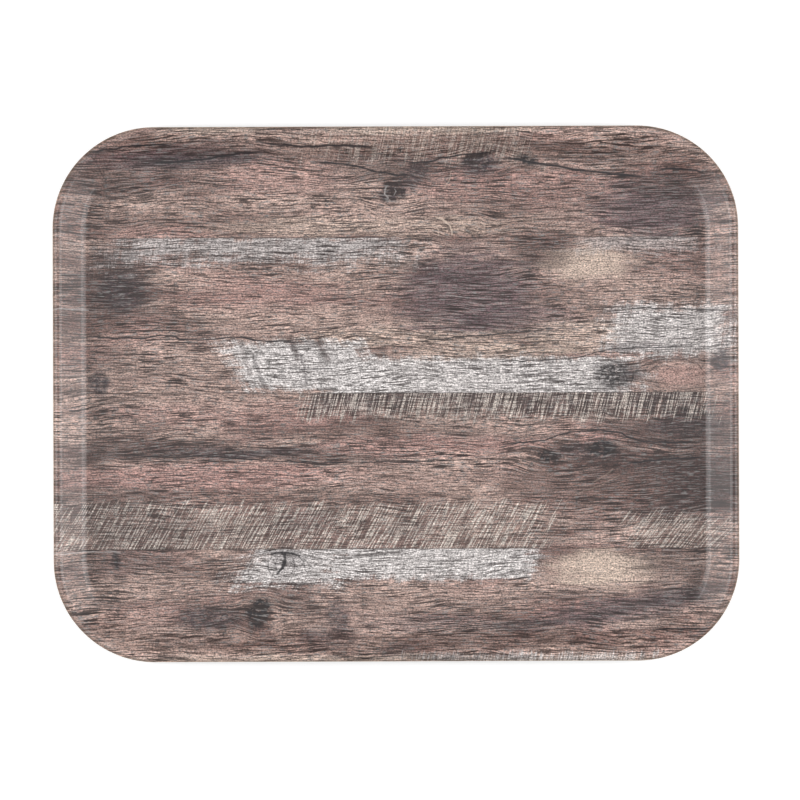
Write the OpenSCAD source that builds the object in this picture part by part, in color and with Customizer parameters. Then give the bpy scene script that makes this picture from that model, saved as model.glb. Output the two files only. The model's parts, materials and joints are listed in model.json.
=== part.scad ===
// Rectangular serving tray, pressed from a stack of resin-soaked sheets.
// Origin: on the table under the middle of the tray. +X along the tray, +Z up. Millimetres.

/* [Outline] */
// Length over the rim, along X
tray_l = 457.2; // [400:0.1:560]
// Width over the rim, along Y
tray_w = 356.8; // [300:0.1:420]
// Height from the table to the top of the rim
tray_h = 20; // [16:0.1:24]
// Outer corner radius, seen from above
corner_r = 67.6; // [45:0.1:90]

/* [Wall] */
// Slope of the wall from horizontal, in degrees
wall_angle = 52; // [45:1:60]
// Radius of the hollow between floor and wall, at the printed face
fillet_r = 7; // [5:0.5:10]
// Radius of the rim's crest, at the printed face
crest_r = 4; // [3.6:0.1:4.6]
// Angle from the top of the crest down to where the printed sheets are trimmed
lip_angle = 45; // [30:1:60]

/* [Layers] */
// Thickness of the clear overlay
overlay_t = 0.25; // [0.2:0.05:0.4]
// Thickness of the printed sheet
decor_t = 0.35; // [0.3:0.05:0.5]
// Thickness of the upper glass-fibre ply
upper_t = 0.8; // [0.6:0.05:1]
// Thickness of the lower glass-fibre ply, away from the rim
lower_t = 0.75; // [0.6:0.05:1]
// Thickness of the backing sheet under the tray
backing_t = 0.35; // [0.3:0.05:0.5]

/* [Rim] */
// Radius of the stiffening rod inside the rim
rod_r = 1.5; // [1:0.1:1.6]
// Gap between the rod's two ends
rod_gap = 1; // [0.5:0.1:3]
// Height of the rim bead below the centre of the crest
bead_drop = 2.1; // [2:0.1:3]
// Radius of the bead's lower outer corner
nose_r = 1.4; // [0.8:0.1:2]

/* [Stacking lugs] */
// Drop of each lug below the bead
lug_drop = 4; // [2:0.5:6]
// Distance from the rim's outer edge in to the lug
lug_inset = 2; // [1:0.5:3]
// Angle that each lug spans round its corner, in degrees
lug_span = 12; // [8:1:20]

/* [Hidden] */
$fn = 96;
arc_step = 5;      // degrees between the points of a section's arcs
nose_angle = 90;   // the upper ply rolls down this far, to face straight out
print_colour = [0.47, 0.41, 0.39];
backing_colour = [0.24, 0.21, 0.20];

stack_t = overlay_t + decor_t + upper_t + lower_t + backing_t;
print_depth = overlay_t + decor_t;
ply_depth = print_depth + upper_t;

// Corner axes, seen from above
axis_x = tray_l / 2 - corner_r;
axis_y = tray_w / 2 - corner_r;

// Section points are [distance out from a corner axis, height]
crest_c = [corner_r - (crest_r - print_depth), tray_h - crest_r];
wall_top = crest_c + crest_r * [-sin(wall_angle), cos(wall_angle)];
wall_len = (wall_top.y - stack_t - fillet_r * (1 - cos(wall_angle))) / sin(wall_angle);
fillet_c = [wall_top.x - wall_len * cos(wall_angle) - fillet_r * sin(wall_angle),
            stack_t + fillet_r];
bead_z = crest_c.y - bead_drop;

function reverse(points) = [for (i = [len(points) - 1:-1:0]) points[i]];

// Points on an arc: angle 0 points straight down and grows towards the outside of the tray
function arc(centre, radius, from, to) =
    let (steps = ceil(abs(to - from) / arc_step))
    [for (i = [0:steps])
        let (angle = from + (to - from) * i / steps)
        centre + radius * [sin(angle), -cos(angle)]];

// Line at a depth below the printed face, from the middle of the floor out over the rim.
// It ends where the crest has turned end_angle down on the outside.
function face_line(depth, end_angle) = concat(
    [[0, stack_t - depth]],
    arc(fillet_c, fillet_r + depth, 0, wall_angle),
    arc(crest_c, crest_r - depth, 180 + wall_angle, 180 - end_angle));

// Where the underside of the wall, raised by lift, meets the underside of the bead
function bead_root(lift) =
    let (start = fillet_c + (fillet_r + stack_t - lift) * [sin(wall_angle), -cos(wall_angle)])
    [start.x + (bead_z + lift - start.y) / tan(wall_angle), bead_z + lift];

// Line at a height above the underside, from the middle of the floor out under the bead
function under_line(lift) = concat(
    [[0, lift]],
    arc(fillet_c, fillet_r + stack_t - lift, 0, wall_angle),
    [bead_root(lift)],
    arc([corner_r - nose_r, bead_z + nose_r], nose_r - lift, 0, 90),
    [[corner_r - lift, crest_c.y]]);

// Carries a section round the four corners and along the four sides
module around_tray() {
    for (flip_x = [0, 1], flip_y = [0, 1])
        mirror([flip_x, 0, 0]) mirror([0, flip_y, 0])
            translate([axis_x, axis_y, 0])
                rotate_extrude(angle = 90) children();
    for (flip = [0, 1]) {
        mirror([flip, 0, 0]) translate([axis_x, 0, 0])
            rotate([90, 0, 0]) linear_extrude(2 * axis_y, center = true) children();
        mirror([0, flip, 0]) translate([0, axis_y, 0])
            rotate([90, 0, 90]) linear_extrude(2 * axis_x, center = true) children();
    }
}

// A dished sheet between two section lines, with the flat floor inside the corner axes
module dished_sheet(upper, lower) {
    around_tray() polygon(concat(upper, reverse(lower)));
    translate([-axis_x, -axis_y, lower[0].y])
        cube([2 * axis_x, 2 * axis_y, upper[0].y - lower[0].y]);
}

module clear_overlay() {
    color("gainsboro", 0.4)
        dished_sheet(face_line(0, lip_angle), face_line(overlay_t, lip_angle));
}

module decor_sheet() {
    color(print_colour)
        dished_sheet(face_line(overlay_t, lip_angle), face_line(print_depth, lip_angle));
}

module upper_glass_ply() {
    color("antiquewhite")
        dished_sheet(face_line(print_depth, nose_angle), face_line(ply_depth, nose_angle));
}

// One bent rod, closed by a butt joint in the middle of the back side
module rim_rod() {
    color("silver") difference() {
        around_tray() translate(crest_c) circle(r = rod_r);
        translate([0, axis_y + crest_c.x, crest_c.y])
            cube([rod_gap, 4 * rod_r, 4 * rod_r], center = true);
    }
}

// Fills the rim bead round the rod, and thins to a sheet under the wall and the floor
module lower_glass_ply() {
    color("wheat") difference() {
        dished_sheet(face_line(ply_depth, nose_angle), under_line(backing_t));
        rim_rod();
    }
}

module backing_sheet() {
    color(backing_colour)
        dished_sheet(under_line(backing_t), under_line(0));
}

// One lug under the rim at each corner, which holds stacked trays apart
module stacking_lugs() {
    lug_z = bead_z - lug_drop;
    root = bead_root(0);
    lug_section = [
        [root.x - lug_drop / tan(wall_angle), lug_z],
        [corner_r - lug_inset, lug_z],
        [corner_r - lug_inset, bead_z],
        root];
    color(backing_colour)
        for (flip_x = [0, 1], flip_y = [0, 1])
            mirror([flip_x, 0, 0]) mirror([0, flip_y, 0])
                translate([axis_x, axis_y, 0])
                    rotate(45 - lug_span / 2)
                        rotate_extrude(angle = lug_span) polygon(lug_section);
}

clear_overlay();
decor_sheet();
upper_glass_ply();
rim_rod();
lower_glass_ply();
backing_sheet();
stacking_lugs();
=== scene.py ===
"""Serving tray: its looks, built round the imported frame.

Lengths are in metres, but the materials and their tables work in millimetres."""
import json
import math
from functools import reduce
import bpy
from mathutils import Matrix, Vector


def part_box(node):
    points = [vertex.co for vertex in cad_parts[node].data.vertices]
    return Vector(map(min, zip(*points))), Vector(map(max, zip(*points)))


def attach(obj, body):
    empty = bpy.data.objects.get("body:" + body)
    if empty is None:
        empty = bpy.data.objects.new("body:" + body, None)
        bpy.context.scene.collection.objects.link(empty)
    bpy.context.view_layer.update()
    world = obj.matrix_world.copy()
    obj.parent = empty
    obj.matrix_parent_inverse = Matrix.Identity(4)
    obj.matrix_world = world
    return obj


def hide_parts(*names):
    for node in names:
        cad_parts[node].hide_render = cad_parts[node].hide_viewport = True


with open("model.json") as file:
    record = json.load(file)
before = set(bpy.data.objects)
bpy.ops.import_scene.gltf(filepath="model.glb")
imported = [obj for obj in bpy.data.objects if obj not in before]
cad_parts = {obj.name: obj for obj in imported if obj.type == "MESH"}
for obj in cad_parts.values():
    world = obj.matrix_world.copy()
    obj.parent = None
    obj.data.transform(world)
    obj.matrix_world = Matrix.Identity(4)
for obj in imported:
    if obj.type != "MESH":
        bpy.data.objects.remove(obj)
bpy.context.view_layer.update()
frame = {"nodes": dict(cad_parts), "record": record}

from types import SimpleNamespace

import bpy
from mathutils import Vector

MM = 0.001

# ---------------------------------------------------------------- sizes, from the frame
outer_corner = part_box("upper_glass_ply")[1]
HALF_L = outer_corner[0]
HALF_W = outer_corner[1]
TOP_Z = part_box("clear_overlay")[1][2]
FLOOR_Z = next(m["pos_m"][2] for m in frame["record"]["mounts"] if m["name"] == "serving_face")

# The section's own measures, as the design has them
CORNER_R = 67.6 * MM
WALL_ANGLE = math.radians(52)
FILLET_R = 7 * MM
CREST_R = 4 * MM
LIP_ANGLE = math.radians(45)
NOSE_ANGLE = math.radians(90)
PRINT_DEPTH = 0.6 * MM       # clear overlay and printed sheet together
PLY_DEPTH = 1.4 * MM         # and the upper glass-fibre ply below them
BACKING_T = 0.35 * MM
BEAD_DROP = 2.1 * MM
NOSE_R = 1.4 * MM
LUG_DROP = 4 * MM
LUG_INSET = 2 * MM
LUG_SPAN = math.radians(12)

AXIS_X = HALF_L - CORNER_R
AXIS_Y = HALF_W - CORNER_R
ARC_STEP = math.radians(3)   # between the points of a section's arcs
CORNER_STEPS = 30            # faces round each corner, seen from above
FLOOR_MARGIN = 2 * MM        # flat ring that keeps the wall's shading off the floor
SHARP_ANGLE = math.radians(35)


def arc(centre, radius, start, end):
    """Section points [distance, height]: angle 0 points down and grows towards the outside."""
    steps = math.ceil(abs(end - start) / ARC_STEP)
    angles = [start + (end - start) * i / steps for i in range(steps + 1)]
    return [(centre[0] + radius * math.sin(a), centre[1] - radius * math.cos(a)) for a in angles]


crest = (CORNER_R - (CREST_R - PRINT_DEPTH), TOP_Z - CREST_R)
wall_top_x = crest[0] - CREST_R * math.sin(WALL_ANGLE)
wall_top_z = crest[1] + CREST_R * math.cos(WALL_ANGLE)
wall_rise = wall_top_z - FLOOR_Z - FILLET_R * (1 - math.cos(WALL_ANGLE))
fillet = (wall_top_x - wall_rise / math.tan(WALL_ANGLE) - FILLET_R * math.sin(WALL_ANGLE),
          FLOOR_Z + FILLET_R)
BEAD_Z = crest[1] - BEAD_DROP


def face_line(depth, end_angle):
    """The section's line at a depth below the printed face, from the floor out over the rim."""
    floor_point = (fillet[0] - FLOOR_MARGIN, FLOOR_Z - depth)
    bowl = arc(fillet, FILLET_R + depth, 0, WALL_ANGLE)
    crown = arc(crest, CREST_R - depth, math.pi + WALL_ANGLE, math.pi - end_angle)
    return [floor_point] + bowl + crown


def under_line(lift):
    """The section's line at a height above the underside, from the floor out under the rim."""
    radius = FILLET_R + FLOOR_Z - lift
    bowl = arc(fillet, radius, 0, WALL_ANGLE)
    root_x = bowl[-1][0] + (BEAD_Z + lift - bowl[-1][1]) / math.tan(WALL_ANGLE)
    nose = arc((CORNER_R - NOSE_R, BEAD_Z + NOSE_R), NOSE_R - lift, 0, NOSE_ANGLE)
    floor_point = (fillet[0] - FLOOR_MARGIN, lift)
    return [floor_point] + bowl + [(root_x, BEAD_Z + lift)] + nose + [(CORNER_R - lift, crest[1])]


def outline(distance):
    """The rounded rectangle at a distance out from the corner axes, anticlockwise."""
    points = []
    for quarter, (sx, sy) in enumerate([(1, 1), (-1, 1), (-1, -1), (1, -1)]):
        for i in range(CORNER_STEPS + 1):
            angle = math.radians(90) * (quarter + i / CORNER_STEPS)
            points.append((sx * AXIS_X + distance * math.cos(angle),
                           sy * AXIS_Y + distance * math.sin(angle)))
    return points


def make_object(name, vertices, faces, material):
    mesh = bpy.data.meshes.new(name)
    mesh.from_pydata(vertices, [], faces)
    mesh.validate()
    mesh.polygons.foreach_set("use_smooth", [True] * len(mesh.polygons))
    mesh.set_sharp_from_angle(angle=SHARP_ANGLE)
    mesh.materials.append(material)
    piece = bpy.data.objects.new(name, mesh)
    bpy.context.scene.collection.objects.link(piece)
    return piece


def dished_sheet(name, upper, lower, material):
    """A closed sheet between two section lines that both start on the flat floor."""
    section = upper + lower[::-1]
    rings = [outline(distance) for distance, _ in section]
    count = len(rings[0])
    vertices = [(x, y, z) for ring, (_, z) in zip(rings, section) for x, y in ring]
    faces = []
    for row in range(len(section) - 1):
        for i in range(count):
            j = (i + 1) % count
            faces.append((row * count + i, row * count + j,
                          (row + 1) * count + j, (row + 1) * count + i))
    last = (len(section) - 1) * count
    faces.append(tuple(reversed(range(count))))
    faces.append(tuple(range(last, last + count)))
    faces = [face[::-1] for face in faces]
    return make_object(name, vertices, faces, material)


# ---------------------------------------------------------------- materials
def srgb(red, green, blue):
    """A colour given in 0 to 255 steps, as linear light."""
    def linear(step):
        value = step / 255
        return value / 12.92 if value <= 0.04045 else ((value + 0.055) / 1.055) ** 2.4
    return (linear(red), linear(green), linear(blue), 1.0)


SEED_STEP_X = -173           # how far each seed moves the noise, in its own millimetres
SEED_STEP_Y = 91


class Field:
    """A number or colour that varies over the surface. Plain arithmetic on fields adds math nodes."""

    def __init__(self, paint, socket):
        self.paint = paint
        self.socket = socket

    def calc(self, operation, *others):
        return self.paint.put("ShaderNodeMath", self, *others, operation=operation)

    def __add__(self, other):
        return self.calc("ADD", other)

    def __sub__(self, other):
        return self.calc("SUBTRACT", other)

    def __rsub__(self, other):
        return self.calc("MULTIPLY_ADD", -1.0, other)

    def __mul__(self, other):
        return self.calc("MULTIPLY", other)

    def __truediv__(self, other):
        return self.calc("DIVIDE", other)

    def __abs__(self):
        return self.calc("ABSOLUTE")

    def least(self, other):
        return self.calc("MINIMUM", other)

    def most(self, other):
        return self.calc("MAXIMUM", other)

    __radd__ = __add__
    __rmul__ = __mul__

    def ramp(self, low, high, top=1.0):
        """Goes smoothly from 0 at low to top at high. Low may be the larger of the two.

        The smooth step clamps by itself. With the node's own clamp on, a long row of ramps uses up
        the shader's working memory, and the surface renders black."""
        return self.paint.put("ShaderNodeMapRange", self, low, high, 0.0, top,
                              interpolation_type="SMOOTHSTEP", clamp=False)


class Paint:
    """Adds nodes to a material's tree or a group's."""

    def __init__(self, tree):
        self.tree = tree
        tree.nodes.clear()

    def feed(self, socket, value):
        if isinstance(value, Field):
            self.tree.links.new(value.socket, socket)
        elif value is not None:
            socket.default_value = value

    def put(self, kind, *inputs, output=0, **settings):
        """One node. Settings in capitals are sockets, and the others are the node's options."""
        node = self.tree.nodes.new(kind)
        for name, value in settings.items():
            if name[0].isupper():
                self.feed(node.inputs[name], value)
            else:
                setattr(node, name, value)
        for socket, value in zip(node.inputs, inputs):
            self.feed(socket, value)
        return Field(self, node.outputs[output])

    def position(self):
        """Where the surface is, in millimetres from the tray's middle."""
        place = self.put("ShaderNodeTexCoord", output="Object")
        return self.put("ShaderNodeMapping", place, None, None, (1 / MM, 1 / MM, 1 / MM))

    def split(self, place):
        node = self.tree.nodes.new("ShaderNodeSeparateXYZ")
        self.feed(node.inputs[0], place)
        return Field(self, node.outputs["X"]), Field(self, node.outputs["Y"])

    def join(self, x, y):
        return self.put("ShaderNodeCombineXYZ", x, y)

    def noise(self, place, size_x, size_y, detail=2.0, roughness=0.5, seed=0, turn=0, flat=True):
        """Soft noise from 0 to 1. The sizes are those of its spots, in millimetres, and turn is
        the angle from X to their long way, in degrees."""
        spread = self.put("ShaderNodeMapping", place, (SEED_STEP_X * seed, SEED_STEP_Y * seed, 0),
                          (0, 0, math.radians(turn)), (size_x, size_y, size_y), vector_type="TEXTURE")
        return self.put("ShaderNodeTexNoise", spread, noise_dimensions="2D" if flat else "3D",
                        Scale=1.0, Detail=detail, Roughness=roughness)

    def wander(self, place, size_x, size_y, reach, detail=2.0, seed=0):
        """Soft noise from minus half of reach to plus half."""
        return (self.noise(place, size_x, size_y, detail, seed=seed) - 0.5) * reach

    def mix(self, amount, under, over):
        node = self.tree.nodes.new("ShaderNodeMix")
        node.data_type = "RGBA"
        self.feed(node.inputs[0], amount)
        self.feed(node.inputs[6], under)
        self.feed(node.inputs[7], over)
        return Field(self, node.outputs[2])

    def shade(self, colour, light):
        return self.put("ShaderNodeHueSaturation", Value=light, Color=colour)

    def curve(self, along, points):
        """The smooth line through given points, each from 0 to 1 both ways."""
        node = self.tree.nodes.new("ShaderNodeFloatCurve")
        line = node.mapping.curves[0]
        line.points[0].location = points[0]
        line.points[1].location = points[-1]
        for point in points[1:-1]:
            line.points.new(*point)
        node.mapping.update()
        self.feed(node.inputs["Value"], along)
        return Field(self, node.outputs[0])

    def use(self, group, *inputs):
        node = self.tree.nodes.new("ShaderNodeGroup")
        node.node_tree = group
        for socket, value in zip(node.inputs, inputs):
            self.feed(socket, value)
        return Field(self, node.outputs[0])


def make_group(build, names):
    """A node group for build(paint, *fields), with an input for each of its fields, named here in
    their order. Those named colour and tone are colours, and the result is like the first."""
    labels = names.split()
    kinds = ["NodeSocketColor" if label in ("colour", "tone") else "NodeSocketFloat"
             for label in labels]
    group = bpy.data.node_groups.new(build.__name__, "ShaderNodeTree")
    for label, kind in zip(labels, kinds):
        group.interface.new_socket(label, in_out="INPUT", socket_type=kind)
    group.interface.new_socket("result", in_out="OUTPUT", socket_type=kinds[0])
    paint = Paint(group)
    entry = group.nodes.new("NodeGroupInput")
    result = build(paint, *(Field(paint, socket) for socket in entry.outputs[:len(labels)]))
    leave = group.nodes.new("NodeGroupOutput")
    group.links.new(result.socket, leave.inputs[0])
    return group


def make_material(name, build):
    """A material with one Principled shader. build(paint) returns its sockets, with underscores
    for spaces; height and its lift in millimetres make the bump."""
    material = bpy.data.materials.new(name)
    material.use_nodes = True
    paint = Paint(material.node_tree)
    sockets = build(paint)
    height = sockets.pop("height")
    lift = sockets.pop("lift_mm")
    bump = paint.put("ShaderNodeBump", Strength=1.0, Distance=lift * MM, Height=height)
    shader = material.node_tree.nodes.new("ShaderNodeBsdfPrincipled")
    for label, value in sockets.items():
        paint.feed(shader.inputs[label.replace("_", " ")], value)
    paint.feed(shader.inputs["Normal"], bump)
    surface = material.node_tree.nodes.new("ShaderNodeOutputMaterial")
    material.node_tree.links.new(shader.outputs[0], surface.inputs["Surface"])
    return material


# The print's colours
TAN = srgb(186, 159, 148)
CREAM = srgb(214, 192, 176)
ROSE = srgb(181, 142, 134)
BROWN = srgb(115, 89, 82)
UMBER = srgb(68, 48, 46)
MAUVE = srgb(92, 73, 78)
SLATE = srgb(56, 46, 51)
INK = srgb(30, 26, 30)
CHALK = srgb(213, 207, 205)
ASH = srgb(184, 176, 174)
PORE = srgb(42, 29, 27)
BONE = srgb(208, 196, 186)
# Painted shade for the rim's outer slope, not a colour of the print
RIM_PAINTED_SHADE = srgb(92, 76, 60)

# The planks, with the places of the seams between them along Y
SEAM_ABOVE_MM = 105.3
SEAM_MIDDLE_MM = 0.6
SEAM_BELOW_MM = -104.1
PLANK_MM = SEAM_ABOVE_MM - SEAM_MIDDLE_MM
PLANK_JUMP_X = 311           # how far each plank's grain is moved from its neighbour's
PLANK_JUMP_Y = 57
SAME_PLANK = 0.5             # plank numbers are whole, so this close is the same one
LINE_WIDEN = 1.3             # for the soft edges of smears and scratches
CRACK_WIDEN = 1.35           # and of cracks

# The print's noises: the length and width of their spots, in millimetres
BROAD_MM = (90, 16)
BLUSH_MM = (70, 24)
STREAK_MM = (46, 3.2)
SPLIT_MM = (46, 1.0)
FINE_MM = (17, 0.75)
HAIR_MM = (4.5, 0.62)
VIGOUR_MM = (50, 22)
WIDE_STROKE_MM = (50, 7)
THIN_STROKE_MM = (20, 0.95)
BLOTCH_MM = (8, 3)
GNARL_MM = (3.4, 2.0)
SPECK_MM = (1.2, 0.85)
PEEL_MM = (1.4, 1.4)

# Soft stains: colour, middle x and y, reach along and across, turn in degrees, strength
STAINS = [
    (TAN, -48, 135, 75, 22, 0, 0.8),
    (ROSE, -75, 145, 50, 12, 0, 0.6),
    (UMBER, -185, 150, 60, 16, 0, 0.7),
    (MAUVE, -140, 160, 75, 8, 4, 0.8),
    (TAN, -165, 120, 60, 10, 0, 0.5),
    (BROWN, -150, 112, 70, 8, 0, 0.5),
    (ROSE, -160, 108, 40, 5, 0, 0.6),
    (UMBER, 10, 150, 60, 12, 0, 0.7),
    (ROSE, 55, 140, 60, 12, 0, 0.5),
    (TAN, 20, 120, 60, 12, 0, 0.6),
    (BROWN, 60, 115, 50, 14, 0, 0.7),
    (ROSE, 120, 137, 60, 14, 0, 0.6),
    (BROWN, 105, 130, 70, 14, 0, 0.5),
    (MAUVE, 172, 124, 46, 20, 0, 1.0),
    (UMBER, 185, 140, 40, 10, 0, 0.7),
    (UMBER, 120, 163, 70, 6, 0, 0.6),
    (UMBER, -125, 165, 60, 5, 0, 0.5),
    (UMBER, 0, 164, 60, 5, 0, 0.6),
    (UMBER, 85, 166, 50, 4, 0, 0.4),
    (CREAM, -120, 176, 40, 3, 0, 0.5),
    (CREAM, 30, 176, 80, 3.5, 0, 0.6),
    (TAN, 130, 175, 60, 3, 0, 0.4),
    (CREAM, 128, 88, 34, 12, 0, 0.9),
    (TAN, 150, 66, 60, 12, 4, 0.5),
    (UMBER, 100, 95, 26, 14, 0, 0.6),
    (UMBER, -190, 72, 34, 20, 0, 0.9),
    (ROSE, -90, 66, 70, 14, 0, 0.6),
    (TAN, -60, 50, 80, 11, 0, 0.8),
    (MAUVE, 48, 68, 52, 30, 0, 1.0),
    (MAUVE, 80, 50, 50, 12, 0, 0.7),
    (TAN, -150, 20, 60, 12, 0, 0.6),
    (TAN, -130, 0, 90, 13, 0, 0.9),
    (BROWN, -130, 4, 90, 10, 0, 0.3),
    (ROSE, -90, -14, 90, 10, 0, 0.6),
    (CREAM, 60, 26, 60, 8, 0, 0.6),
    (CREAM, 120, 38, 40, 12, 0, 0.6),
    (UMBER, -160, -38, 90, 9, 0, 0.9),
    (UMBER, -50, -40, 70, 7, 0, 0.8),
    (BROWN, 10, -27, 100, 9, 0, 0.6),
    (ROSE, 20, -35, 80, 8, 0, 0.7),
    (TAN, 60, -22, 50, 8, 0, 0.5),
    (ROSE, -120, -56, 120, 10, 0, 1.0),
    (TAN, 20, -60, 90, 12, 0, 0.6),
    (UMBER, -190, -72, 60, 10, 0, 0.8),
    (BROWN, -60, -74, 90, 5, 0, 0.5),
    (BROWN, -70, -69, 150, 6, 0, 0.6),
    (UMBER, 185, -25, 60, 16, 0, 0.9),
    (UMBER, 190, -62, 70, 26, 0, 1.1),
    (UMBER, 178, -58, 60, 20, 0, 0.8),
    (BROWN, 125, -64, 60, 18, 0, 0.9),
    (CREAM, 142, -118, 38, 13, 0, 1.05),
    (TAN, 145, -97, 40, 5, 6, 0.7),
    (UMBER, -185, -114, 50, 12, 0, 0.7),
    (TAN, -160, -130, 60, 10, 0, 0.6),
    (TAN, -20, -136, 70, 10, 0, 0.6),
    (UMBER, 185, -115, 30, 12, 0, 0.6),
    (MAUVE, 150, -145, 60, 10, 8, 0.8),
    (UMBER, -70, -140, 20, 12, 0, 0.7),
    (TAN, -75, -155, 10, 14, 0, 0.7),
    (TAN, -12, -160, 24, 15, 0, 0.8),
    (MAUVE, 25, -154, 46, 6, 0, 0.5),
    (TAN, 50, -139, 60, 9, 0, 0.6),
    (UMBER, 60, -165, 90, 7, 0, 0.45),
    (TAN, -160, -163, 50, 9, 0, 0.7),
    (CREAM, -20, 113, 110, 7, 0, 0.45),
    (CREAM, 10, 38, 80, 6, 0, 0.5),
    (TAN, 170, 66, 50, 8, 0, 0.6),
    (TAN, -70, 166, 50, 5, 0, 0.5),
    (TAN, -120, -174, 90, 5, 0, 0.8),
    (TAN, -150, -163, 60, 7, 0, 0.5),
    (CREAM, 0, -177, 230, 3.5, 0, 0.5),
    (TAN, 191, 14, 24, 10, 0, 1.0),
    (ROSE, 191, 13, 20, 8, 0, 0.7),
]

# Dark smudges and knots: colour, middle x and y, reach along and across, turn, strength
KNOTS = [
    (INK, -3, 135, 9, 7, 0, 0.8),
    (SLATE, 8, 143, 18, 9, 30, 0.8),
    (SLATE, 57, 155, 14, 9, 0, 0.9),
    (INK, 89, 157, 8, 4, 0, 0.9),
    (SLATE, -130, 158, 46, 6, 4, 0.7),
    (SLATE, -184, 69, 18, 16, 0, 0.8),
    (SLATE, -200, 7, 9, 9, 0, 0.9),
    (SLATE, -190, 95, 20, 8, 0, 0.35),
    (INK, 147, 12, 16, 11, 0, 0.9),
    (SLATE, 160, 13, 10, 7, 0, 0.6),
    (SLATE, 158, 31, 24, 3, 6, 0.5),
    (SLATE, 217, 22.5, 5, 8, 0, 1.0),
    (UMBER, 126, -44, 44, 14, 0, 0.6),
    (ROSE, 134, -30, 17, 4, 0, 0.7),
    (SLATE, 130, -39, 22, 7, 0, 0.6),
    (INK, 103, -43, 9, 5.5, 0, 1.1),
    (INK, 139, -37, 12, 7.5, 0, 1.1),
    (SLATE, 195, -22, 30, 8, 0, 0.6),
    (SLATE, -110, -39, 55, 4, 0, 0.7),
    (SLATE, -127, -150, 26, 10, 0, 0.8),
    (INK, -93, -147, 9, 12, 30, 1.2),
    (SLATE, -138, -165, 30, 6, 0, 0.35),
    (SLATE, -40, -149, 9, 13, 0, 0.7),
    (SLATE, -44, -163, 24, 8, 0, 0.6),
    (SLATE, 0, -170, 13, 4, 0, 0.6),
    (SLATE, 84, -156, 34, 4, 4, 0.7),
    (SLATE, 142, -148, 38, 4, 12, 0.6),
    (SLATE, 190, -136, 26, 7, 10, 0.7),
    (INK, 40, -175, 50, 3, 0, 0.5),
    (SLATE, -189, -111, 4, 7, 0, 0.8),
    (SLATE, -75, -110, 15, 9, 0, 0.45),
    (SLATE, -66, -85, 26, 10, 0, 0.35),
    (SLATE, 8, -92, 16, 7, 0, 0.3),
    (UMBER, -170, -89, 65, 13, 0, 0.4),
    (UMBER, 20, -16, 60, 6, 0, 0.35),
]

# Whitewash: plank, slant of the brush in degrees, left, right, bottom, top, fade along and
# across, colour, strength. A box that reaches past a seam ends on it.
WASHES = [
    (0, 82, -205, 20, 84, 115, 60, 18, ASH, 0.95),
    (0, 82, 110, 215, 93, 115, 40, 9, ASH, 0.6),
    (0, 118, -106, 2, -1, 39, 22, 10, CHALK, 0.95),
    (0, 100, -60, 172, -8, 27, 30, 8, CHALK, 0.95),
    (0, 82, 132, 229, 22, 63, 26, 12, CHALK, 0.88),
    (-2, 62, -122, -34, -133, -96, 30, 12, CHALK, 0.95),
    (-2, 76, -56, 98, -127, -92, 24, 7, CHALK, 0.95),
]

# Saw marks: plank, slant in degrees, left, right, bottom, top, fade along and across, ground
# colour, its strength, colour of the strokes, their strength
SAWS = [
    (-1, 76, -66, 214, -18, 14, 12, 7, SLATE, 0.75, BONE, 0.85),
    (-1, 62, -250, 106, -120, -73, 30, 8, UMBER, 0.36, BONE, 0.95),
    (-1, 52, 152, 222, -120, -80, 14, 9, UMBER, 0.3, BONE, 0.8),
    (1, 76, -56, 92, 156, 200, 30, 12, CREAM, 0.25, BONE, 0.45),
    (-2, 76, 6, 172, -200, -172, 20, 4, CHALK, 0.6, CHALK, 0.8),
]
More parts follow.
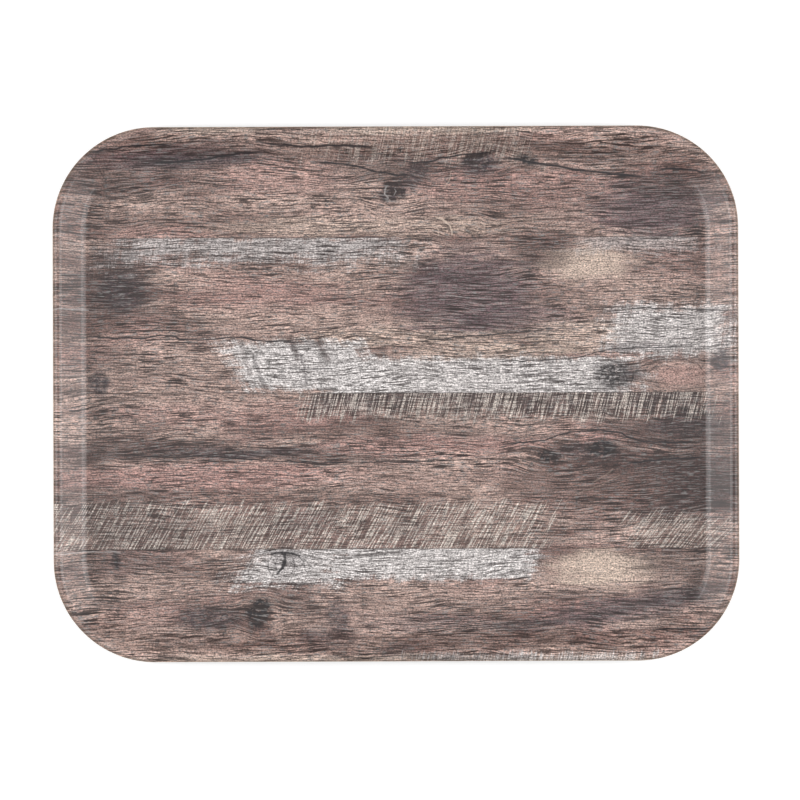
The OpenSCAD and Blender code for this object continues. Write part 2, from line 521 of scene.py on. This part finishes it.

# Broad smears under the grain, and fine scratches over it with one painted highlight line: half width,
# colour, strength, points
SMEARS = [
    (2.2, UMBER, 0.6, [(-71, 38), (-66, 24)]),
    (2.4, UMBER, 0.6, [(-53, 38), (-46, 24)]),
    (0.9, SLATE, 0.5, [(-64, 27), (-60, 8)]),
    (2.4, UMBER, 0.35, [(-66, 36), (-52, 33)]),
    (2.0, UMBER, 0.4, [(-104, 34), (-98, 14)]),
    (1.4, SLATE, 0.5, [(-96, 26), (-88, 4)]),
    (1.2, INK, 0.8, [(-189, -107), (-188, -116)]),
]
SCRATCHES_AND_HIGHLIGHT = [
    (1.0, INK, 0.85, [(-84, -107.5), (-77, -106.6), (-70, -107), (-65, -108.6)]),
    (1.1, INK, 0.9, [(-75, -107.5), (-75.6, -113), (-77, -117), (-79.5, -120)]),
    (0.5, INK, 0.45, [(-84, -108.5), (-86.5, -113), (-86, -118), (-83, -122), (-78, -125)]),
    (0.5, INK, 0.5, [(-66, -107), (-64, -111), (-62.5, -116), (-60, -121)]),
    (0.45, SLATE, 0.6, [(-71.5, -109), (-69, -112), (-68.3, -116), (-70, -120.5)]),
    (0.45, SLATE, 0.5, [(-80, -109.5), (-81.5, -114), (-80.5, -118)]),
    (0.6, CREAM, 0.75, [(28.5, 118.5), (32, 117.2), (34.8, 115.2), (36.8, 112.6), (37.9, 109.6),
                        (38, 107)]),
    (0.45, CREAM, 0.45, [(24.5, 113.5), (26.8, 112.3), (28.4, 110.3), (29, 106.5)]),
    (0.45, CREAM, 0.4, [(37.5, 119.5), (41.5, 118.2), (44.8, 115.8), (47, 112)]),
    (0.4, CREAM, 0.3, [(20, 111), (22, 109), (22.5, 105.5)]),
    (0.4, CREAM, 0.3, [(53, 116), (55.6, 113), (55.3, 108.5)]),
    (0.4, CREAM, 0.3, [(58, 116), (60.4, 112.5), (59.5, 107.5)]),
    (0.5, CHALK, 0.35, [(-6, 139), (-7.3, 137.2), (-7.2, 134.8), (-4.5, 132)]),
    (0.4, CHALK, 0.25, [(-0.5, 138), (0.3, 136), (-1.3, 133.5)]),
    (0.45, CREAM, 0.3, [(38, 150), (36, 144), (33, 139)]),
    (0.5, CREAM, 0.15, [(146, -51), (140, -55.5), (132, -60)]),
    (0.45, CREAM, 0.15, [(150, -55), (138, -62), (120, -68)]),
    (0.5, CHALK, 0.45, [(-228, -105.8), (-205, -105.6), (-186, -105.8)]),
    # A painted highlight: a pale line across the left wall, drawn like a scratch
    (0.5, CHALK, 0.4, [(-228, 57), (-216, 57.3), (-207, 57)]),
    (0.5, INK, 0.6, [(142.5, 9), (143.4, 12.6), (147, 13.9), (150.4, 11.6), (149.5, 8), (146, 6.6)]),
    (0.5, INK, 0.6, [(137, 8), (137.8, 13), (140.5, 16.6), (147, 18.5), (153, 16), (156, 8)]),
    (0.5, INK, 0.5, [(146, 19), (147, 14), (144, 8), (146, 2)]),
    (0.6, INK, 0.5, [(158, 8), (161, 15), (168, 19)]),
    (0.5, UMBER, 0.6, [(170, 14), (177, 20), (186, 22.8), (196, 22.6), (204, 19), (209, 12)]),
    (0.5, INK, 0.45, [(-202, 158), (-197, 150), (-195, 142)]),
    (0.6, UMBER, 0.6, [(212, 28), (212.5, 20), (216, 15)]),
]

# Smooth patches with hardly any grain: middle x and y, reach along and across
CALMS = [
    (136, -119, 52, 14),
    (128, 88, 36, 13),
    (191, 14, 26, 10),
]

# Where the grain bends round a knot: middle x and y, reach along and across, strength
BENDS = [
    (128, -42, 66, 28, 0.55),
    (191, 14, 36, 17, 0.55),
    (-3, 137, 30, 20, 0.6),
    (-77, -112, 26, 14, 0.6),
    (60, 157, 26, 14, 0.5),
    (45, 112, 26, 14, 0.6),
    (-91, -147, 22, 20, 0.5),
]

# Cracks: width, then the points of their line
CRACKS = [
    (0.7, [(-206, 162), (-190, 163), (-177, 166), (-160, 167), (-146, 167)]),
    (0.8, [(-170, 156), (-138, 157), (-118, 160), (-101, 162), (-82, 163)]),
    (0.8, [(-96, 169), (-64, 166), (-48, 166), (-27, 166), (-9, 163)]),
    (0.8, [(-60, 156), (-37, 155), (-21, 152), (-4, 148), (15, 147)]),
    (0.6, [(0, 157), (18, 156), (35, 159), (51, 161), (72, 163)]),
    (1.0, [(65, 157), (79, 158), (88, 156), (103, 154), (124, 150), (144, 148), (173, 145)]),
    (0.8, [(175, 150), (185, 151), (195, 150), (208, 146)]),
    (0.6, [(-228, 37), (-206, 39), (-177, 38), (-153, 40), (-141, 37), (-126, 37), (-110, 38),
           (-90, 36), (-64, 35), (-40, 35)]),
    (0.45, [(10, 35), (55, 39), (82, 41), (100, 43), (122, 44)]),
    (0.45, [(150, 57), (175, 57), (202, 56), (228, 54)]),
    (0.4, [(60, 22), (95, 22), (120, 24), (150, 30), (180, 31), (205, 31)]),
    (0.6, [(60, -35), (96, -32), (114, -27), (131, -25), (147, -26), (158, -30), (174, -33),
           (208, -33)]),
    (0.6, [(150, -48), (158, -47), (176, -45), (208, -43)]),
    (0.4, [(-216, -40), (-180, -41), (-140, -41), (-80, -45), (-20, -46), (60, -40)]),
    (0.35, [(-76, 17), (-55, 17), (-40, 17)]),
    (0.6, [(170, -159), (190, -158), (215, -156)]),
]


def stain_oval(p, colour, x, y, rag, tone, mid_x, mid_y, reach_x, reach_y, slope, strength):
    """Blends a tone over the colour inside a ragged oval."""
    off_x = (x - mid_x) / reach_x
    off_y = (y - mid_y - (x - mid_x) * slope) / reach_y
    far = off_x * off_x + off_y * off_y - rag
    return p.mix(far.ramp(1.0, 0.15) * strength, colour, tone)


def box_depth(p, x, y, left, right, bottom, top, fade_x, fade_y):
    """0 on a box's edge, rising by 1 for each fade inwards."""
    along = ((x - left) / fade_x).least((right - x) / fade_x)
    across = ((y - bottom) / fade_y).least((top - y) / fade_y)
    return along.least(across)


def draw_crack(p, colour, along, line, y, low, high, width, tone, strength):
    """Draws a line whose height goes from low to high, fading at its ends."""
    off = abs(y - low - line * (high - low)) / width
    ends = along.ramp(0.0, 0.15) * along.ramp(1.0, 0.85)
    return p.mix(off.ramp(1.0, 0.2) * ends * strength, colour, tone)


def calm_grain(p, vigour, x, y, mid_x, mid_y, reach_x, reach_y):
    """Weakens the grain inside an oval."""
    off_x = (x - mid_x) / reach_x
    off_y = (y - mid_y) / reach_y
    return vigour * (off_x * off_x + off_y * off_y).ramp(0.2, 1.4, 0.65) + vigour * 0.35


def draw_scratch(p, colour, x, y, rag, start_x, start_y, end_x, end_y, width, tone, strength):
    """Draws a straight, slightly ragged stroke."""
    run_x = end_x - start_x
    run_y = end_y - start_y
    length = run_x * run_x + run_y * run_y
    share = ((x - start_x) * run_x + (y - start_y) * run_y) / length
    share = share.least(1.0).most(0.0)
    off_x = x - start_x - share * run_x
    off_y = y - start_y - share * run_y
    far = (off_x * off_x + off_y * off_y).calc("SQRT") / width - rag
    return p.mix(far.ramp(1.0, 0.3) * strength, colour, tone)


def bend_grain(p, shift, x, y, mid_x, mid_y, reach_x, reach_y, strength):
    """Adds how far the grain is pushed away from a knot."""
    off_x = (x - mid_x) / reach_x
    off_y = (y - mid_y) / reach_y
    near = (off_x * off_x + off_y * off_y).ramp(1.0, 0.0)
    return shift - near * (y - mid_y) * strength


STAIN = make_group(stain_oval, "colour x y rag tone mid_x mid_y reach_x reach_y slope strength")
BOX = make_group(box_depth, "x y left right bottom top fade_x fade_y")
CRACK = make_group(draw_crack, "colour along line y low high width tone strength")
CALM = make_group(calm_grain, "vigour x y mid_x mid_y reach_x reach_y")
SCRATCH = make_group(draw_scratch, "colour x y rag start_x start_y end_x end_y width tone strength")
BEND = make_group(bend_grain, "shift x y mid_x mid_y reach_x reach_y strength")


def wood_fields(p):
    """The noises that the print's layers share, and the places where the layers are drawn."""
    place = p.position()
    x, y = p.split(place)

    # Each plank has its own grain, which wanders a little and bends round the knots
    plank = ((y - SEAM_MIDDLE_MM) / PLANK_MM).calc("FLOOR")
    shift = p.wander(place, 110, 34, reach=12, seed=1) + p.wander(place, 26, 12, reach=1.5, seed=2)
    for bend in BENDS:
        shift = p.use(BEND, shift, x, y, *bend)
    grain = p.join(x + plank * PLANK_JUMP_X, y + shift + plank * PLANK_JUMP_Y)

    streak = p.noise(grain, *STREAK_MM, detail=3, roughness=0.65, seed=6)
    fine = p.noise(grain, *FINE_MM, detail=1, roughness=0.6, seed=7)
    hair = p.noise(grain, *HAIR_MM, detail=1, roughness=0.6, seed=8)
    speck = p.noise(place, *SPECK_MM, detail=1, roughness=0.6, seed=9)

    # Stains have loose edges, knots tighter ones, and brush and saw marks follow the streaks
    rag = (streak * 0.6 + fine * 0.4 - 0.5) * 1.8
    loose_x = x + p.wander(place, 14, 9, reach=16, seed=3) + rag * 6
    loose_y = y + p.wander(place, 30, 9, reach=9, seed=4) + rag
    knot_x = x + (loose_x - x) * 0.5
    knot_y = y + (loose_y - y) * 0.5
    mark_x = x + (streak - 0.5) * 2
    mark_y = y + (streak - 0.5)
    waver_x = mark_x + p.wander(place, 6, 6, reach=2.5, detail=1, seed=14)
    waver_y = mark_y + p.wander(place, 9, 9, reach=1.8, seed=15)
    return SimpleNamespace(
        place=place, y=y, plank=plank, grain=grain, streak=streak, fine=fine, hair=hair, speck=speck,
        rag=rag, knot_rag=rag * 0.35, loose=(loose_x, loose_y), knot=(knot_x, knot_y),
        mark=(mark_x, mark_y), waver=(waver_x, waver_y))


def paint_ovals(p, colour, place, rag, ovals, widen_x, widen_y, share):
    """Blends each oval of a list over the colour. The share scales their strengths."""
    for tone, mid_x, mid_y, reach_x, reach_y, turn, strength in ovals:
        colour = p.use(STAIN, colour, *place, rag, tone, mid_x, mid_y, reach_x * widen_x,
                       reach_y * widen_y, math.tan(math.radians(turn)), share * strength)
    return colour


def paint_lines(p, wood, colour, lines):
    """Draws each line of a list as straight strokes from point to point."""
    for width, tone, strength, points in lines:
        for start, end in zip(points, points[1:]):
            colour = p.use(SCRATCH, colour, *wood.waver, wood.knot_rag, *start, *end,
                           width * LINE_WIDEN, tone, strength)
    return colour


def paint_bare_wood(p, wood):
    """The wood itself, with soft stains along the grain."""
    broad = p.noise(wood.grain, *BROAD_MM, detail=3, roughness=0.6, seed=5)
    blush = p.noise(wood.grain, *BLUSH_MM, seed=10)
    colour = p.mix(broad.ramp(0.3, 0.7), BROWN, TAN)
    colour = p.mix(blush.ramp(0.45, 0.75, 0.4), colour, ROSE)
    colour = p.mix(wood.streak.ramp(0.5, 0.75, 0.3), colour, UMBER)
    return paint_ovals(p, colour, wood.loose, wood.rag, STAINS,
                       widen_x=1.15, widen_y=1.25, share=0.85)


def slanted_strokes(p, place):
    """Fine and broad strokes for each slant that the saw marks and the whitewash have."""
    slants = sorted({mark[1] for mark in SAWS + WASHES})
    return {slant: (p.noise(place, *THIN_STROKE_MM, detail=1, roughness=0.6, seed=seed, turn=slant),
                    p.noise(place, *WIDE_STROKE_MM, detail=1, roughness=0.6, seed=seed, turn=slant))
            for seed, slant in enumerate(slants, start=20)}


def paint_saw_marks(p, wood, colour, strokes):
    """Pale strokes on a dark ground, broken by the grain. Also returns where they are."""
    chop = wood.hair * 0.35 + wood.fine * 0.2 - 0.275
    zones = []
    for number, slant, left, right, bottom, top, fade_x, fade_y, ground, cover, tone, strength in SAWS:
        thin, wide = strokes[slant]
        depth = p.use(BOX, *wood.mark, left, right, bottom, top, fade_x, fade_y)
        zone = (depth + thin * 2.0 + wide * 1.5).ramp(1.75, 2.45)
        zone = zone * wood.plank.calc("COMPARE", number, SAME_PLANK)
        zones.append(zone)
        broken = thin - chop
        colour = p.mix((depth * 0.3 + wide).ramp(0.4, 1.1) * zone * cover, colour, ground)
        colour = p.mix(broken.ramp(0.48, 0.62) * zone * strength, colour, tone)
        colour = p.mix(broken.ramp(0.46, 0.34) * zone * cover, colour, PORE)
    return colour, reduce(Field.most, zones)


def paint_whitewash(p, wood, colour, strokes):
    """Whitewash, brushed on across the grain and worn off in blotches. Also returns where it is."""
    blotch = p.noise(wood.place, *BLOTCH_MM, detail=3, roughness=0.7, seed=17)
    worn = blotch * 1.6 + wood.speck * 0.6 + wood.streak * 2.0
    veils = []
    for number, slant, left, right, bottom, top, fade_x, fade_y, wash, strength in WASHES:
        thin, wide = strokes[slant]
        x, y = wood.mark
        lean = math.tan(math.radians(90 - slant))
        depth = p.use(BOX, x - (y - bottom) * lean, y, left, right, bottom, top, fade_x, fade_y)
        brush = depth * 1.6 + worn + (thin + wide) * 1.2
        veil = brush.ramp(3.35, 4.45) * wood.plank.calc("COMPARE", number, SAME_PLANK)
        veils.append(veil)
        colour = p.mix(veil * strength, colour, wash)
        colour = p.mix(thin.ramp(0.47, 0.35) * veil * 0.25, colour, SLATE)
    return colour, reduce(Field.most, veils)


def paint_knots(p, wood, colour):
    """Knots, gnarled inside, with the broad smears beside them."""
    gnarl = p.noise(wood.place, *GNARL_MM, detail=2, roughness=0.7, seed=18) + wood.rag * 0.1
    share = gnarl.ramp(0.3, 0.6, 0.65) + 0.45
    colour = paint_ovals(p, colour, wood.knot, wood.knot_rag, KNOTS,
                         widen_x=1.15, widen_y=1.15, share=share)
    return paint_lines(p, wood, colour, SMEARS)


def paint_grain(p, wood, colour, sawn, washed):
    """Pale ridges, dark pores and long fine splits, weaker on the smooth patches."""
    vigour = p.noise(wood.place, *VIGOUR_MM, detail=1, seed=12) + 0.5
    for calm in CALMS:
        vigour = p.use(CALM, vigour, *wood.loose, *calm)
    vigour = vigour * (1.0 - washed * 0.1) * (1.0 - sawn * 0.35)
    light = 1.0 + (wood.hair - 0.5) * 3.4 * vigour + (wood.speck - 0.5) * 2.6
    split = p.noise(wood.grain, *SPLIT_MM, detail=1, roughness=0.6, seed=11)
    ridge = wood.fine * 0.5 + wood.hair * 0.5
    colour = p.shade(colour, light)
    colour = p.mix(ridge.ramp(0.48, 0.34) * vigour * 0.3, colour, CHALK)
    colour = p.mix(wood.fine.ramp(0.53, 0.62) * vigour * 0.8, colour, PORE)
    return p.mix(split.ramp(0.61, 0.66) * vigour * 0.75, colour, PORE)


def paint_cracks(p, wood, colour):
    """Fine scratches with one painted highlight line, long cracks and the seams between the planks."""
    colour = paint_lines(p, wood, colour, SCRATCHES_AND_HIGHLIGHT)
    x, y = wood.waver
    for width, points in CRACKS:
        left, right = points[0][0], points[-1][0]
        low = min(height for _, height in points) - 1.0
        high = max(height for _, height in points) + 1.0
        along = (x - left) / (right - left)
        unit = [((px - left) / (right - left), (py - low) / (high - low)) for px, py in points]
        colour = p.use(CRACK, colour, along, p.curve(along, unit), y, low, high,
                       width * CRACK_WIDEN, INK, 0.95)
    for seam in (SEAM_ABOVE_MM, SEAM_MIDDLE_MM, SEAM_BELOW_MM):
        off = abs(wood.y + (wood.fine - 0.5) * 0.8 - seam)
        colour = p.mix(off.ramp(0.8, 0.1) * wood.streak.ramp(0.35, 0.6, 0.7), colour, PORE)
    return colour


def rim_slope(p, place):
    """0 on the well and the rim's crest, rising to 1 on the rim's outer slope."""
    facing = p.put("ShaderNodeTexCoord", output="Normal")
    outwards = p.put("ShaderNodeVectorMath", facing, place, operation="DOT_PRODUCT", output="Value")
    return outwards.ramp(50, 130)


def printed_wood(p):
    """Weathered, partly whitewashed planks under a clear satin overlay."""
    wood = wood_fields(p)
    strokes = slanted_strokes(p, wood.place)
    colour = paint_bare_wood(p, wood)
    colour, sawn = paint_saw_marks(p, wood, colour, strokes)
    colour, washed = paint_whitewash(p, wood, colour, strokes)
    colour = paint_knots(p, wood, colour)
    colour = paint_grain(p, wood, colour, sawn, washed)
    colour = paint_cracks(p, wood, colour)

    # The rim's outer slope is rubbed dull, and its colour is darkened with painted shade against the
    # side light that falls on it
    dulled_and_shaded = rim_slope(p, wood.place)
    colour = p.mix(dulled_and_shaded * 0.4, colour, RIM_PAINTED_SHADE)

    peel = p.noise(wood.place, *PEEL_MM, flat=False, seed=16)
    return dict(height=peel, lift_mm=0.01, Base_Color=colour, Coat_Weight=0.6 - dulled_and_shaded * 0.6,
                Roughness=0.42 + wood.fine * 0.1 + dulled_and_shaded * 0.35, IOR=1.5, Coat_Roughness=0.22,
                Coat_IOR=1.5)


def glass_laminate(p):
    """Trimmed edge of resin-soaked glass fibre."""
    place = p.position()
    fibres = p.noise(place, 0.9, 0.35, 3, 0.7, flat=False, seed=1)
    clouds = p.noise(place, 9, 5, 2, flat=False, seed=2)
    colour = p.mix(fibres.ramp(0.35, 0.7), srgb(172, 153, 134), srgb(214, 199, 180))
    colour = p.mix(clouds.ramp(0.4, 0.8, 0.4), colour, srgb(160, 137, 118))
    return dict(height=fibres, lift_mm=0.04, Base_Color=colour, Roughness=0.5 + fibres * 0.2)


def backing_resin(p):
    """Plain dark underside with the glass mat's faint relief."""
    place = p.position()
    mat = p.noise(place, 5.0, 1.2, 3, 0.7, flat=False, seed=1)
    weave = p.noise(place, 1.2, 5.0, 3, 0.7, flat=False, seed=2)
    relief = abs(mat - 0.5) + abs(weave - 0.5)
    clouds = p.noise(place, 40, 30, 3, flat=False, seed=3)
    colour = p.mix(relief.ramp(0.0, 0.35), srgb(70, 61, 57), srgb(52, 46, 44))
    colour = p.mix(clouds.ramp(0.35, 0.75, 0.5), colour, srgb(78, 68, 63))
    return dict(height=relief, lift_mm=0.05, Base_Color=colour, Roughness=0.4 + relief * 0.5)


def drawn_aluminium(p):
    """Bare metal with the fine marks of the die."""
    lines = p.noise(p.position(), 0.4, 0.4, 3, 0.7, flat=False, seed=1)
    colour = p.mix(lines, srgb(196, 197, 200), srgb(224, 225, 226))
    return dict(height=lines, lift_mm=0.01, Base_Color=colour, Metallic=1.0,
                Roughness=0.28 + lines * 0.2)


def studio_paint(p):
    """The pale floor, lit a little from within so that its edges don't show."""
    dust = p.noise(p.position(), 300, 300, 2, seed=1)
    return dict(height=dust, lift_mm=0.0, Base_Color=(0.9, 0.9, 0.9, 1), Roughness=0.9,
                Emission_Color=(1, 1, 1, 1), Emission_Strength=0.35)


print_material = make_material("printed_wood", printed_wood)
laminate_material = make_material("glass_laminate", glass_laminate)
backing_material = make_material("backing_resin", backing_resin)
rod_material = make_material("drawn_aluminium", drawn_aluminium)

# ---------------------------------------------------------------- pieces
pieces = [
    ("printed_face", "printed_sheet", ["clear_overlay", "decor_sheet"],
     face_line(0, LIP_ANGLE), face_line(PRINT_DEPTH, LIP_ANGLE), print_material),
    ("upper_laminate", "glass_fibre", ["upper_glass_ply"],
     face_line(PRINT_DEPTH, NOSE_ANGLE), face_line(PLY_DEPTH, NOSE_ANGLE), laminate_material),
    ("lower_laminate", "glass_fibre", ["lower_glass_ply"],
     face_line(PLY_DEPTH, NOSE_ANGLE), under_line(BACKING_T), laminate_material),
    ("backing_face", "backing", ["backing_sheet"],
     under_line(BACKING_T), under_line(0), backing_material),
]
for name, slot, nodes, upper, lower, material in pieces:
    sheet = dished_sheet(name, upper, lower, material)
    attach(sheet, "root")
    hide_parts(*nodes)

for node, material in [("rim_rod", rod_material), ("stacking_lugs", backing_material)]:
    for slot in frame["nodes"][node].material_slots:
        slot.material = material


# ---------------------------------------------------------------- studio
def area_light(name, place, aim, width, height, power):
    """A soft light at a place, turned towards its aim and hidden from the camera."""
    light = bpy.data.lights.new(name, "AREA")
    light.shape = "RECTANGLE"
    light.size = width
    light.size_y = height
    light.energy = power
    lamp = bpy.data.objects.new(name, light)
    bpy.context.scene.collection.objects.link(lamp)
    lamp.location = place
    lamp.rotation_euler = (Vector(aim) - Vector(place)).to_track_quat("-Z", "Y").to_euler()
    lamp.visible_camera = False


KEY_POWER = 7.0
for side, word, panel_power in ((-1, "left", 10.5), (1, "right", 11.0)):
    area_light("key_" + word, place=(side * 1.1, 0, 1.2), aim=(0, 0, 0),
               width=0.5, height=1.2, power=KEY_POWER)
    area_light("panel_" + word, place=(side * 1.2, 0, 0.35), aim=(0, 0, 0.1),
               width=1.6, height=0.6, power=panel_power)

WORLD_STRENGTH = 0.4
world = bpy.data.worlds.new("studio")
bpy.context.scene.world = world
world.use_nodes = True
background = world.node_tree.nodes["Background"]
background.inputs["Color"].default_value = (1, 1, 1, 1)
background.inputs["Strength"].default_value = WORLD_STRENGTH

FLOOR_SIZE = 6.0
floor_mesh = bpy.data.meshes.new("studio_floor")
half = FLOOR_SIZE / 2
floor_mesh.from_pydata([(-half, -half, 0), (half, -half, 0), (half, half, 0), (-half, half, 0)],
                       [], [(0, 1, 2, 3)])
floor = bpy.data.objects.new("studio_floor", floor_mesh)
bpy.context.scene.collection.objects.link(floor)
floor_mesh.materials.append(make_material("studio_floor", studio_paint))

# ---------------------------------------------------------------- camera, straight above
CAMERA_HEIGHT = 1.5          # above the centre of the rim's crest
FRAME_WIDTH = 0.5334         # the view's width at that centre's height
AIM_X = 0.0027               # the view's middle, a little off the tray's
AIM_Y = -0.0041
TILT = math.radians(-0.2)
camera = bpy.data.cameras.new("camera")
camera.sensor_width = 36
camera.lens = camera.sensor_width * CAMERA_HEIGHT / FRAME_WIDTH
eye = bpy.data.objects.new("camera", camera)
bpy.context.scene.collection.objects.link(eye)
eye.location = (AIM_X, AIM_Y, crest[1] + CAMERA_HEIGHT)
eye.rotation_euler = (0, 0, TILT)
bpy.context.scene.camera = eye
bpy.context.scene.view_settings.view_transform = "Standard"
